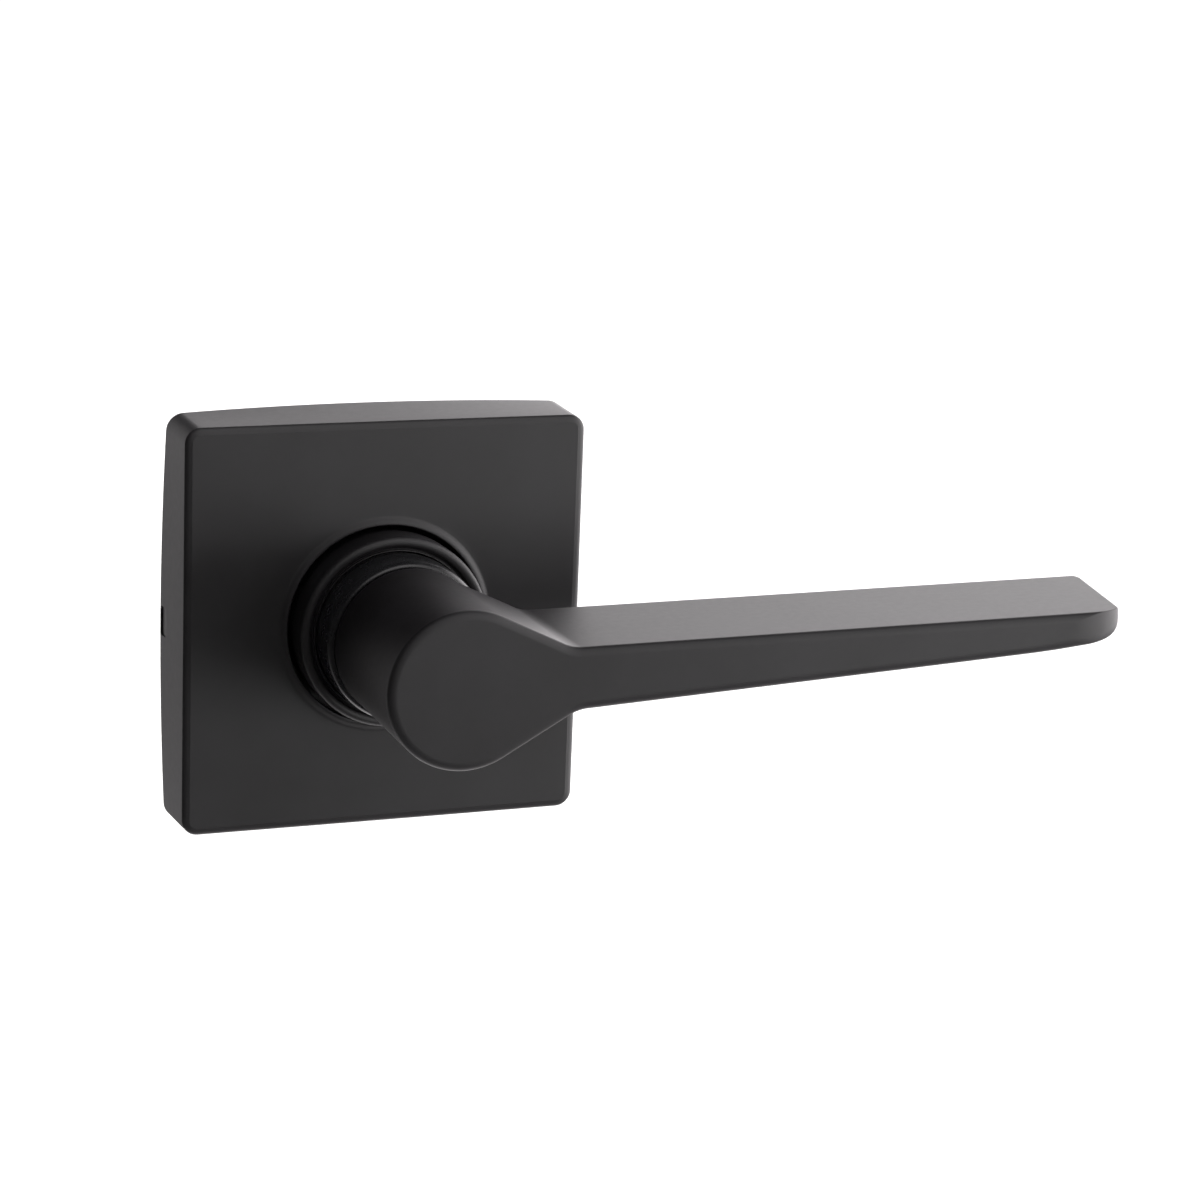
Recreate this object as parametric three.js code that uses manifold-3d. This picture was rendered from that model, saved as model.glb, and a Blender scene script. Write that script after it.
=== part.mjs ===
// Door lever handle: one side of a passage set, with a square rose and its spring mechanism.
// Millimetres. The origin is on the turning axis at the door face; +X runs along the lever,
// +Y goes into the door and +Z is up, so everything in front of the door has a negative Y.
import * as THREE from 'three';
import { mergeVertices } from 'three/addons/utils/BufferGeometryUtils.js';
import Module from 'manifold-3d';

const wasm = await Module();
wasm.setup();

// ---- driving dimensions ----
const ROUND = 48;                 // facets round a turned piece
const GAP = 0.3;                  // clearance between neighbouring pieces

// rose
const ROSE_HALF = 33.35;          // half of its 2 5/8 in side
const ROSE_DEPTH = 11.1;
const ROSE_CORNER = 2.6;
const ROSE_EDGE = 0.5;            // rounding of the front edge
const ROSE_WALL = 1.6;
const ROSE_BOW = 0.85;            // how far each side bulges at the door
const ROSE_DRAFT = 0.25;          // how much narrower it is at the front
const LIP_IN = 16.3;              // opening of the rose
const LIP_OUT = 18.2;
const LIP_HEIGHT = 0.35;
const PRY_SLOT = { height: 4.8, back: -0.3, front: -3, floor: 33.85 };   // shallow, in the left side

// collar, neck and spring housing
const COLLAR_OUT = 15.6;
const COLLAR_IN = 13.2;
const COLLAR_CROWN = { inner: 13.9, back: -16, front: -16.7 };
const NECK_OUT = 12.9;
const NECK_IN = 11.7;
const NECK_FRONT = -15.6;
const CUP_OUT = 15.2;
const CUP_IN = 14.0;
const CUP_FRONT = -11.4;
const CUP_CEILING = -10.4;        // inner face of the cup's front wall
const BUSH_BACK = -11.3;
const FLANGE_RADIUS = 25;
const FLANGE_BACK = -1.9;
const FLANGE_FRONT = -3.1;

// mounting plate and fixings
const PLATE_HALF = 29.6;
const PLATE_THICK = 1.6;
const PLATE_BORE = 7;
const FIXING_RADIUS = 19.5;       // screws left and right, rivets above and below
const SCREW_RADIUS = 2;
const SCREW_END = 42;
const RIVET_RADIUS = 1.4;

// drive sleeve, seen between the collar and the lever
const SHOULDER_RADIUS = 13.1;
const SHOULDER_ROUND = 0.95;      // rounding of its front edge
const SHOULDER_BACK = -17;
const SHOULDER_FRONT = -23;
const JOURNAL_RADIUS = 10.1;
const TAIL_RADIUS = 9;            // behind the journal, where the cam sits
const TAIL_FRONT = -10.1;
const NOSE_RADIUS = 8.6;          // in front of the shoulder, inside the lever
const NOSE_FRONT = -43.2;
const NOSE_FLAT = 7.3;            // height of the flat that keys the lever to the sleeve
const GROOVE = { radius: 8.1, back: -2.7, front: -4.1 };

// cam and return spring
const CAM = { back: -4.1, front: -5.5, disc: 11.5, ear: 13.6, earHalfAngle: 14 };
const LUG = { half: 1.5, low: 9.4, high: 10.3, front: -9.9 };
const TAB = { half: 1.4, low: 10.75, high: 11.5, back: -5.9 };
const STOP = { radius: 12, from: 63, to: 75, front: -5.7 };
const COIL = { radius: 12.5, wire: 0.7, back: -6.5, front: -9.4, legX: 2.5, legEnd: 9.7 };

// spindle, its pin and the lever catch
const SPINDLE_HALF = 3.95;
const SPINDLE_BACK = 48;
const SPINDLE_FRONT = -42;
const PIN_Y = -39;
const PIN_RADIUS = 1.2;
const CATCH_Y = -31;
const CATCH = { nose: 1.6, tip: -10.3, flange: 2.5, flangeLow: -7, flangeHigh: -6, bore: 1.2, floor: -8.6 };
const CATCH_COIL = { radius: 0.8, wire: 0.18, low: -6.9, high: -4.5, turns: 2.5 };

// lever
const LEVER_FRONT = -51;
const LEVER_BACK = -26.5;         // rear face of the blade
const HUB = { radius: 12.5, x: 0.2, z: -0.35 };   // round end of the front face
const SHANK_RADIUS = 12.2;
const BORE_RADIUS = 8.9;
const BORE_FRONT = -43.6;
const LEVER_EDGE = 0.7;
const TOP = { slope: -0.48, z18: 5.4, rise: 0.00465 };
const BOTTOM = { slope: 0.568, z22: -4.27, rise: 0.0525 };
const FILLET = 1.5;               // tangent length of the fillets where the hub meets the blade
const TIP_X = 113.1;              // end of the blade at TIP_Y
const TIP_Y = -47;
const TIP_SLANT = 0.2;            // the end runs outward towards the door
const TIP_FRONT_RADIUS = 3.5;
const TIP_BACK_RADIUS = 2.8;
const TIP_BOTTOM_RADIUS = 3.7;
const TIP_LIFT = { reach: 12, rise: 0.3 };   // the lower edge turns up a little towards the end

// ---- materials ----
const finish = (color, roughness, metalness) => () =>
  new THREE.MeshStandardMaterial({ color, roughness, metalness });
const satinBlack = finish(0x2b2a2c, 0.42, 0.35);
const glossBlack = finish(0x121213, 0.22, 0.3);
const zincSteel = finish(0xa9acae, 0.45, 0.9);
const springSteel = finish(0x77797c, 0.35, 0.95);
const nylon = finish(0x18181a, 0.55, 0);

const handle = new THREE.Group();

function addPiece(name, geometry, material) {
  const mesh = new THREE.Mesh(geometry, material);
  mesh.name = name;
  handle.add(mesh);
  return mesh;
}

// ---- geometry helpers ----

/** Welded copy with only positions, its faces pointing out. */
function closed(geometry) {
  const bare = geometry.clone();
  bare.deleteAttribute('normal');
  bare.deleteAttribute('uv');
  const welded = mergeVertices(bare, 1e-4);
  const position = welded.attributes.position;
  const index = welded.index.array;
  const a = new THREE.Vector3();
  const b = new THREE.Vector3();
  const c = new THREE.Vector3();
  const kept = [];
  let volume = 0;
  for (let i = 0; i < index.length; i += 3) {
    const [p, q, r] = [index[i], index[i + 1], index[i + 2]];
    if (p === q || q === r || r === p) continue;
    kept.push(p, q, r);
    a.fromBufferAttribute(position, p);
    b.fromBufferAttribute(position, q);
    c.fromBufferAttribute(position, r);
    volume += a.dot(b.cross(c));
  }
  if (volume < 0) kept.reverse();
  welded.setIndex(kept);
  return welded;
}

function toSolid(geometry) {
  const shell = closed(geometry);
  return new wasm.Manifold(new wasm.Mesh({
    numProp: 3,
    vertProperties: new Float32Array(shell.attributes.position.array),
    triVerts: new Uint32Array(shell.index.array),
  }));
}

function toGeometry(solid) {
  const mesh = solid.getMesh();
  const geometry = new THREE.BufferGeometry();
  geometry.setAttribute('position', new THREE.BufferAttribute(mesh.vertProperties, 3));
  geometry.setIndex(new THREE.BufferAttribute(mesh.triVerts, 1));
  geometry.computeVertexNormals();
  return geometry;
}

/** Join the added geometries to the base, then cut the removed ones from it. */
function shape3d(base, { join = [], cut = [], keep = [] } = {}) {
  let solid = toSolid(base);
  for (const piece of join) solid = solid.add(toSolid(piece));
  for (const piece of keep) solid = solid.intersect(toSolid(piece));
  for (const piece of cut) solid = solid.subtract(toSolid(piece));
  return toGeometry(solid);
}

/** Piece turned about the hub axis, from [radius, y] points. */
function turned(profile, segments = ROUND) {
  return closed(new THREE.LatheGeometry(profile.map(([r, y]) => new THREE.Vector2(r, y)), segments));
}

/** Turned ring or tube whose section closes on itself. */
function ring(profile, segments = ROUND) {
  return turned([...profile, profile[0]], segments);
}

function tube(inner, outer, y0, y1, segments = ROUND) {
  return ring([[inner, y0], [outer, y0], [outer, y1], [inner, y1]], segments);
}

function rod(radius, y0, y1, segments = ROUND) {
  return turned([[0, y0], [radius, y0], [radius, y1], [0, y1]], segments);
}

/** Prism of an (x, z) outline between two depths, its edges rounded by edge. */
function prism(outline, back, front, { edge = 0, curveSegments = 12 } = {}) {
  const geometry = new THREE.ExtrudeGeometry(outline, {
    depth: back - front - 2 * edge,
    bevelEnabled: edge > 0,
    bevelThickness: edge,
    bevelSize: edge,
    bevelOffset: -edge,
    bevelSegments: 3,
    curveSegments,
  });
  geometry.rotateX(Math.PI / 2);
  geometry.translate(0, back - edge, 0);
  return geometry;
}

function box(x0, x1, y0, y1, z0, z1) {
  const geometry = new THREE.BoxGeometry(x1 - x0, y1 - y0, z1 - z0);
  geometry.translate((x0 + x1) / 2, (y0 + y1) / 2, (z0 + z1) / 2);
  return geometry;
}

/** Square with rounded corners and points along its sides, so that it can be bowed. */
function roundedSquare(half, corner, sidePoints = 1, cornerPoints = 4) {
  const outline = new THREE.Shape();
  const reach = half - corner;
  for (let side = 0; side < 4; side++) {
    const turn = side * Math.PI / 2;
    const [cos, sin] = [Math.cos(turn), Math.sin(turn)];
    const place = (u, v) => [u * cos - v * sin, u * sin + v * cos];
    for (let i = 0; i < sidePoints; i++) {
      const along = -reach + 2 * reach * i / sidePoints;
      if (side === 0 && i === 0) outline.moveTo(...place(half, along));
      else outline.lineTo(...place(half, along));
    }
    for (let i = 0; i < cornerPoints; i++) {
      const angle = (i / cornerPoints) * Math.PI / 2;
      outline.lineTo(...place(reach + corner * Math.cos(angle), reach + corner * Math.sin(angle)));
    }
  }
  outline.closePath();
  return outline;
}

/** Move every corner point of a geometry by a function of its place. */
function reshape(geometry, move) {
  const position = geometry.attributes.position;
  for (let i = 0; i < position.count; i++) {
    position.setXYZ(i, ...move(position.getX(i), position.getY(i), position.getZ(i)));
  }
  return geometry;
}

/** Round wire swept along a curve. */
function wire(path, radius, steps, sides = 8) {
  const section = new THREE.Shape();
  for (let i = 0; i < sides; i++) {
    const angle = 2 * Math.PI * i / sides;
    const point = [radius * Math.cos(angle), radius * Math.sin(angle)];
    if (i === 0) section.moveTo(...point);
    else section.lineTo(...point);
  }
  section.closePath();
  return new THREE.ExtrudeGeometry(section, { steps, extrudePath: path, bevelEnabled: false });
}

const alongX = (geometry) => geometry.rotateZ(-Math.PI / 2);
const alongZ = (geometry) => geometry.rotateX(Math.PI / 2);

// ---- rose and the plate that it snaps over ----

function roseCover() {
  const outline = roundedSquare(ROSE_HALF, ROSE_CORNER, 10);
  const spare = 4;
  const block = reshape(prism(outline, spare, -ROSE_DEPTH, { edge: ROSE_EDGE }), (x, y, z) => {
    const nearDoor = 1 + y / ROSE_DEPTH;
    const bow = nearDoor * ROSE_BOW / ROSE_HALF;
    const draft = 1 - (1 - nearDoor) * ROSE_DRAFT / ROSE_HALF;
    const bulge = (across) => 1 + bow * Math.max(0, 1 - (across / ROSE_HALF) ** 2);
    return [x * draft * bulge(z), y, z * draft * bulge(x)];
  });
  const inner = roundedSquare(ROSE_HALF - ROSE_WALL, ROSE_CORNER - 1);
  const lip = ring([
    [LIP_IN, -ROSE_DEPTH + 1],
    [LIP_OUT, -ROSE_DEPTH + 0.2],
    [LIP_OUT - 0.7, -ROSE_DEPTH - 0.2],
    [LIP_IN + 0.7, -ROSE_DEPTH - LIP_HEIGHT],
    [LIP_IN + 0.15, -ROSE_DEPTH - LIP_HEIGHT + 0.1],
    [LIP_IN, -ROSE_DEPTH],
  ]);
  return shape3d(block, {
    join: [lip],
    cut: [
      box(-50, 50, 0, spare + 5, -50, 50),
      prism(inner, 5, -ROSE_DEPTH + ROSE_WALL),
      rod(LIP_IN, -ROSE_DEPTH - 2, 0),
      box(-50, -PRY_SLOT.floor, PRY_SLOT.front, PRY_SLOT.back, -PRY_SLOT.height / 2, PRY_SLOT.height / 2),
    ],
  });
}

function fixingHoles(radius, x, z) {
  const hole = rod(radius, -PLATE_THICK - 5, 5, 24);
  return hole.translate(x, 0, z);
}

function mountingPlate() {
  const outline = roundedSquare(PLATE_HALF, 2.5);
  return shape3d(prism(outline, 0, -PLATE_THICK), {
    cut: [
      rod(PLATE_BORE, -5, 5),
      ...[-1, 1].map((side) => fixingHoles(SCREW_RADIUS + 0.5, side * FIXING_RADIUS, 0)),
      ...[-1, 1].map((side) => fixingHoles(RIVET_RADIUS + GAP, 0, side * FIXING_RADIUS)),
    ],
  });
}

/** Leaf clip above the hub: a foot on the plate and a bent leg against the inside of the rose. */
function roseClip() {
  const inside = ROSE_HALF - ROSE_WALL - 0.4;
  const [foot, heel, leaf] = [FLANGE_RADIUS + 0.5, inside - 1.3, 0.6];
  const back = -PLATE_THICK - GAP;
  const profile = new THREE.Shape([
    [foot, back], [heel, back], [heel + 0.5, back - 0.6], [inside, -5], [heel + 0.3, -7.6],
    [heel + 0.3 - leaf, -7.4], [inside - leaf, -5], [heel - 0.1, back - leaf], [foot, back - leaf],
  ].map(([z, y]) => new THREE.Vector2(z, y)));
  const width = 9;
  const strip = new THREE.ExtrudeGeometry(profile, { depth: width, bevelEnabled: false });
  // the profile is drawn as (z, y), so the strip is turned to run across the X axis
  strip.applyMatrix4(new THREE.Matrix4().set(0, 0, -1, width / 2, 0, 1, 0, 0, 1, 0, 0, 0, 0, 0, 0, 1));
  return strip;
}

// ---- spring housing and its turned neighbours ----

/** Sector of a ring, between two angles measured from straight down. */
function sector(inner, outer, from, to, back, front) {
  const toRadians = (degrees) => (degrees - 90) * Math.PI / 180;
  const outline = new THREE.Shape();
  outline.absarc(0, 0, outer, toRadians(from), toRadians(to), false);
  outline.absarc(0, 0, inner, toRadians(to), toRadians(from), true);
  outline.closePath();
  return prism(outline, back, front, { curveSegments: 4 });
}

function springHousing() {
  const body = ring([
    [CUP_IN, FLANGE_BACK], [FLANGE_RADIUS, FLANGE_BACK], [FLANGE_RADIUS, FLANGE_FRONT],
    [CUP_OUT, FLANGE_FRONT], [CUP_OUT, CUP_FRONT], [NECK_OUT, CUP_FRONT], [NECK_OUT, NECK_FRONT],
    [NECK_IN, NECK_FRONT], [NECK_IN, CUP_CEILING], [CUP_IN, CUP_CEILING],
  ]);
  const stops = [[STOP.from, STOP.to], [-STOP.to, -STOP.from]].map(([from, to]) =>
    sector(STOP.radius, CUP_IN + 0.5, from, to, FLANGE_BACK, STOP.front));
  return shape3d(body, {
    join: [...stops, springTab()],
    cut: [
      ...[-1, 1].map((side) => fixingHoles(SCREW_RADIUS + 0.5, side * FIXING_RADIUS, 0)),
      ...[-1, 1].map((side) => fixingHoles(RIVET_RADIUS + GAP, 0, side * FIXING_RADIUS)),
    ],
  });
}

/** Tab that the spring's legs rest on: a blade on a root in the cup's front wall. */
function springTab() {
  const rootFront = BUSH_BACK + GAP;
  return shape3d(box(-TAB.half, TAB.half, rootFront, TAB.back, TAB.low, TAB.high), {
    join: [box(-TAB.half, TAB.half, rootFront, CUP_CEILING, TAB.low, NECK_IN + 0.8)],
  });
}

function bearingCollar() {
  const middle = (COLLAR_OUT + COLLAR_CROWN.inner) / 2;
  const crown = [0, 45, 90, 135, 180].map((degrees) => degrees * Math.PI / 180).map((angle) => [
    middle + (COLLAR_OUT - middle) * Math.cos(angle),
    COLLAR_CROWN.back + (COLLAR_CROWN.front - COLLAR_CROWN.back) * Math.sin(angle),
  ]);
  return ring([
    [COLLAR_IN, CUP_FRONT - GAP], [COLLAR_OUT, CUP_FRONT - GAP], ...crown, [COLLAR_IN, COLLAR_CROWN.back],
  ]);
}

const neckBushing = () => tube(JOURNAL_RADIUS + GAP, NECK_IN - GAP, BUSH_BACK, NECK_FRONT + GAP);

const thrustWasher = () =>
  tube(JOURNAL_RADIUS + GAP, SHOULDER_RADIUS - 0.2, NECK_FRONT - GAP, SHOULDER_BACK + GAP);

// ---- the turning train ----

function driveSleeve() {
  const round = [30, 60].map((degrees) => degrees * Math.PI / 180).map((angle) => [
    SHOULDER_RADIUS - SHOULDER_ROUND * (1 - Math.cos(angle)),
    SHOULDER_FRONT + SHOULDER_ROUND * (1 - Math.sin(angle)),
  ]);
  const body = turned([
    [0, FLANGE_BACK], [TAIL_RADIUS, FLANGE_BACK], [TAIL_RADIUS, GROOVE.back], [GROOVE.radius, GROOVE.back],
    [GROOVE.radius, GROOVE.front], [TAIL_RADIUS, GROOVE.front], [TAIL_RADIUS, TAIL_FRONT],
    [JOURNAL_RADIUS, TAIL_FRONT], [JOURNAL_RADIUS, SHOULDER_BACK], [SHOULDER_RADIUS, SHOULDER_BACK],
    [SHOULDER_RADIUS, SHOULDER_FRONT + SHOULDER_ROUND], ...round,
    [SHOULDER_RADIUS - SHOULDER_ROUND, SHOULDER_FRONT], [NOSE_RADIUS, SHOULDER_FRONT],
    [NOSE_RADIUS, NOSE_FRONT], [0, NOSE_FRONT],
  ]);
  const bore = SPINDLE_HALF + GAP;
  return shape3d(body, {
    cut: [
      box(-bore, bore, -60, 5, -bore, bore),
      box(-20, 20, NOSE_FRONT - 1, SHOULDER_FRONT, NOSE_FLAT, 20),
      alongX(rod(PIN_RADIUS + GAP, -20, 20, 16)).translate(0, PIN_Y, 0),
      alongZ(rod(CATCH.nose + GAP, -15, 0, 24)).translate(0, CATCH_Y, 0),
      alongZ(rod(CATCH.flange + GAP, CATCH.flangeLow - GAP, 0, 24)).translate(0, CATCH_Y, 0),
    ],
  });
}

function driveCam() {
  const disc = tube(TAIL_RADIUS + GAP, CAM.disc, CAM.back, CAM.front);
  return shape3d(disc, {
    join: [
      sector(CAM.disc - 1, CAM.ear, -CAM.earHalfAngle, CAM.earHalfAngle, CAM.back, CAM.front),
      box(-LUG.half, LUG.half, LUG.front, CAM.back, LUG.low, LUG.high),
    ],
  });
}

function retainingRing() {
  const [back, front] = [GROOVE.back - GAP, GROOVE.front + GAP];
  const body = tube(GROOVE.radius + GAP, TAIL_RADIUS + 1.6, back, front);
  return shape3d(body, { cut: [box(0, 20, -10, 0, -2, 2)] });
}

/** Torsion coil: a leg down beside the lug, nearly two turns, and a second leg on its other side. */
class TorsionCoil extends THREE.Curve {
  getPoint(t) {
    const legSpan = 0.05;
    const start = Math.asin(COIL.legX / COIL.radius);
    const sweep = 4 * Math.PI - 2 * start;
    const turnsDone = THREE.MathUtils.clamp((t - legSpan) / (1 - 2 * legSpan), 0, 1);
    const angle = -start - turnsDone * sweep;
    const y = COIL.back + (COIL.front - COIL.back) * turnsDone;
    const leg = Math.max(0, legSpan - t, t - 1 + legSpan) / legSpan;
    const height = COIL.radius * Math.cos(angle);
    return new THREE.Vector3(COIL.radius * Math.sin(angle), y, height - leg * (height - COIL.legEnd));
  }
}

class Helix extends THREE.Curve {
  constructor({ radius, low, high, turns }) {
    super();
    Object.assign(this, { radius, low, high, turns });
  }

  getPoint(t) {
    const angle = 2 * Math.PI * this.turns * t;
    const height = this.low + (this.high - this.low) * t;
    return new THREE.Vector3(this.radius * Math.cos(angle), CATCH_Y + this.radius * Math.sin(angle), height);
  }
}

function spindle() {
  const chamfer = 0.6;
  const outline = roundedSquare(SPINDLE_HALF, 0.9, 1, 2);
  return shape3d(prism(outline, SPINDLE_BACK, SPINDLE_FRONT, { edge: chamfer }), {
    cut: [alongX(rod(PIN_RADIUS + GAP, -20, 20, 16)).translate(0, PIN_Y, 0)],
  });
}

function spindlePin() {
  const reach = NOSE_RADIUS - 0.4;
  return alongX(rod(PIN_RADIUS, -reach, reach, 16)).translate(0, PIN_Y, 0);
}

function leverCatch() {
  const chamfer = 0.4;
  return alongZ(turned([
    [0, CATCH.floor], [CATCH.bore, CATCH.floor], [CATCH.bore, CATCH.flangeHigh],
    [CATCH.flange, CATCH.flangeHigh], [CATCH.flange, CATCH.flangeLow], [CATCH.nose, CATCH.flangeLow],
    [CATCH.nose, CATCH.tip + chamfer], [CATCH.nose - chamfer, CATCH.tip], [0, CATCH.tip],
  ], 24)).translate(0, CATCH_Y, 0);
}

function mountingScrew() {
  const seat = FLANGE_FRONT - GAP;
  const head = { radius: 3.8, height: 2.4, recess: 0.5 };
  const front = seat - head.height;
  const body = turned([
    [0, SCREW_END], [SCREW_RADIUS - 0.6, SCREW_END], [SCREW_RADIUS, SCREW_END - 1], [SCREW_RADIUS, seat],
    [head.radius, seat], [head.radius, front + 1], [head.radius - 0.9, front], [0, front],
  ], 24);
  const slot = (x, z) => box(-x, x, front - 1, front + 1.3, -z, z);
  return shape3d(body, { cut: [slot(2, head.recess), slot(head.recess, 2)] });
}

function housingRivet() {
  const seat = FLANGE_FRONT - GAP;
  return turned([
    [0, -0.2], [RIVET_RADIUS, -0.2], [RIVET_RADIUS, seat], [2.8, seat], [2.4, seat - 0.9], [1.3, seat - 1.3],
    [0, seat - 1.3],
  ], 24);
}

// ---- lever ----

/** Where the line z = z0 + slope * (x - x0) meets another one. */
function meet([x0, z0, slope], [x1, z1, slope1]) {
  const x = (z1 - z0 + slope * x0 - slope1 * x1) / (slope - slope1);
  return [x, z0 + slope * (x - x0)];
}

/** Front outline: the hub's circle and the blade that leaves it on two tangents. */
function leverOutline() {
  const overrun = 125;
  const topEdge = [18, TOP.z18, TOP.rise];
  const bottomEdge = [22, BOTTOM.z22, BOTTOM.rise];
  const at = ([x0, z0, slope], x) => z0 + slope * (x - x0);
  const touch = (slope, sign) => {
    const angle = Math.atan(slope) + sign * Math.PI / 2;
    return [HUB.x + HUB.radius * Math.cos(angle), HUB.z + HUB.radius * Math.sin(angle), angle];
  };
  const [topX, topZ, topAngle] = touch(TOP.slope, 1);
  const [bottomX, bottomZ, bottomAngle] = touch(BOTTOM.slope, -1);
  const topCorner = meet([topX, topZ, TOP.slope], topEdge);
  const bottomCorner = meet([bottomX, bottomZ, BOTTOM.slope], bottomEdge);

  const outline = new THREE.Shape();
  outline.moveTo(overrun, at(topEdge, overrun));
  outline.lineTo(topCorner[0] + FILLET, at(topEdge, topCorner[0] + FILLET));
  outline.quadraticCurveTo(...topCorner, topCorner[0] - FILLET, topCorner[1] - TOP.slope * FILLET);
  outline.lineTo(topX, topZ);
  outline.absarc(HUB.x, HUB.z, HUB.radius, topAngle, bottomAngle + 2 * Math.PI, false);
  const bladeStart = bottomCorner[0] + FILLET;
  outline.lineTo(bottomCorner[0] - FILLET, bottomCorner[1] - BOTTOM.slope * FILLET);
  outline.quadraticCurveTo(...bottomCorner, bladeStart, at(bottomEdge, bladeStart));
  outline.lineTo(overrun, at(bottomEdge, overrun));
  outline.closePath();
  return outline;
}

/** Plan of the lever seen from above: only its slanting, rounded end matters. */
function planOutline() {
  const beyond = 6;
  const endAt = (y) => TIP_X + TIP_SLANT * (y - TIP_Y);
  const [front, back] = [LEVER_FRONT, LEVER_BACK];
  const outline = new THREE.Shape();
  outline.moveTo(-40, front - beyond);
  outline.lineTo(-40, back + beyond);
  outline.lineTo(0, back + beyond);
  outline.lineTo(40, back);
  outline.lineTo(endAt(back) - TIP_BACK_RADIUS, back);
  outline.quadraticCurveTo(endAt(back), back, endAt(back - TIP_BACK_RADIUS), back - TIP_BACK_RADIUS);
  outline.lineTo(endAt(front + TIP_FRONT_RADIUS), front + TIP_FRONT_RADIUS);
  outline.quadraticCurveTo(endAt(front), front, endAt(front) - TIP_FRONT_RADIUS, front);
  outline.lineTo(40, front);
  outline.lineTo(0, front - beyond);
  outline.closePath();
  return outline;
}

/** Space that the tip may fill: it rounds the blade's lower end corner and slants like the end. */
function tipSpace() {
  const clear = 0.02;             // it stays this far off the faces that it doesn't cut
  const [far, left] = [40, 95];
  const end = TIP_X + clear;
  const lift = (x) => TIP_LIFT.rise * Math.max(0, 1 - (end - x) / TIP_LIFT.reach);
  const edgeAt = (x) => BOTTOM.z22 + BOTTOM.rise * (x - 22) + lift(x) - clear;
  const radius = TIP_BOTTOM_RADIUS;
  const outline = new THREE.Shape();
  outline.moveTo(-far, -far);
  outline.lineTo(left, -far);
  outline.lineTo(left, edgeAt(left));
  outline.lineTo(end - TIP_LIFT.reach, edgeAt(end - TIP_LIFT.reach));
  outline.lineTo(end - radius, edgeAt(end - radius));
  outline.quadraticCurveTo(end, edgeAt(end), end, edgeAt(end) + radius * 0.8);
  outline.lineTo(end, far);
  outline.lineTo(-far, far);
  outline.closePath();
  const space = prism(outline, LEVER_BACK + 10, LEVER_FRONT - 10, { curveSegments: 6 });
  return reshape(space, (x, y, z) => [x > 0 ? x + TIP_SLANT * (y - TIP_Y) : x, y, z]);
}

function leverHandle() {
  const blade = prism(leverOutline(), LEVER_BACK, LEVER_FRONT, { edge: LEVER_EDGE, curveSegments: 16 });
  const plan = new THREE.ExtrudeGeometry(planOutline(), { depth: 60, bevelEnabled: false, curveSegments: 5 });
  plan.translate(0, 0, -30);
  const grip = shape3d(blade, { keep: [plan, tipSpace()] });
  const shank = rod(SHANK_RADIUS, SHOULDER_FRONT - GAP, LEVER_FRONT + 4);
  const socket = shape3d(rod(BORE_RADIUS, 0, BORE_FRONT), {
    cut: [box(-20, 20, -60, 1, NOSE_FLAT + GAP, 20)],
  });
  const releaseHole = alongZ(rod(CATCH.nose + 0.4, -20, -5, 24)).translate(0, CATCH_Y, 0);
  return shape3d(grip, { join: [shank], cut: [socket, releaseHole] });
}

// ---- assembly ----

addPiece('rose_cover', roseCover(), satinBlack());
addPiece('mounting_plate', mountingPlate(), zincSteel());
addPiece('spring_housing', springHousing(), satinBlack());
addPiece('bearing_collar', bearingCollar(), satinBlack());
addPiece('neck_bushing', neckBushing(), nylon());
addPiece('thrust_washer', thrustWasher(), nylon());
addPiece('return_spring', wire(new TorsionCoil(), COIL.wire, 64), springSteel());

addPiece('lever_handle', leverHandle(), satinBlack());
addPiece('drive_sleeve', driveSleeve(), glossBlack());
addPiece('drive_cam', driveCam(), zincSteel());
addPiece('retaining_ring', retainingRing(), springSteel());
addPiece('spindle', spindle(), zincSteel());
addPiece('spindle_pin', spindlePin(), springSteel());
addPiece('lever_catch', leverCatch(), zincSteel());
addPiece('catch_spring', wire(new Helix(CATCH_COIL), CATCH_COIL.wire, 40, 6), springSteel());

for (const [side, x] of [['left', -FIXING_RADIUS], ['right', FIXING_RADIUS]]) {
  addPiece(`mounting_screw_${side}`, mountingScrew(), zincSteel()).position.x = x;
}
for (const [side, z] of [['lower', -FIXING_RADIUS], ['upper', FIXING_RADIUS]]) {
  addPiece(`housing_rivet_${side}`, housingRivet(), zincSteel()).position.z = z;
}
['top', 'right', 'bottom', 'left'].forEach((side, i) => {
  addPiece(`rose_clip_${side}`, roseClip(), springSteel()).rotation.y = i * Math.PI / 2;
});

export default handle;
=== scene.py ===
"""Door lever handle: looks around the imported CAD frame.

Metres, in the CAD frame: +X along the lever, +Y into the door, +Z up, the origin on the turning
axis at the door face. Sizes below are in millimetres, and every piece but the spring housing and the
cam is rebuilt as a fine mesh at the CAD's sizes. Anything in front of the door has a negative Y.
"""

import math

import bmesh
import bpy
from mathutils import Matrix, Vector


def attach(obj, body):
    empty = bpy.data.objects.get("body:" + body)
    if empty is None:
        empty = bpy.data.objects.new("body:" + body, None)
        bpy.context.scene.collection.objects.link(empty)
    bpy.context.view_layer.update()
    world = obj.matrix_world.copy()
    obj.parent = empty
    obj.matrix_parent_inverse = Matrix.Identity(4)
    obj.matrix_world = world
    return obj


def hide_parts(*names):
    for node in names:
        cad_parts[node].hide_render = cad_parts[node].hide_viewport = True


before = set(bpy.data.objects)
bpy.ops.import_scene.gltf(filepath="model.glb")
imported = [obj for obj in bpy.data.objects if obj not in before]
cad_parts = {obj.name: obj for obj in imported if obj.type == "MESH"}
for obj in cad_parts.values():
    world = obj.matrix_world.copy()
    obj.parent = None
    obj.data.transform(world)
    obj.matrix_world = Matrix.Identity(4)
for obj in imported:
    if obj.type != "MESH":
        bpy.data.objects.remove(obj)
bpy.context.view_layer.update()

MM = 0.001

# ---------------------------------------------------------------- sizes, in millimetres

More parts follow.
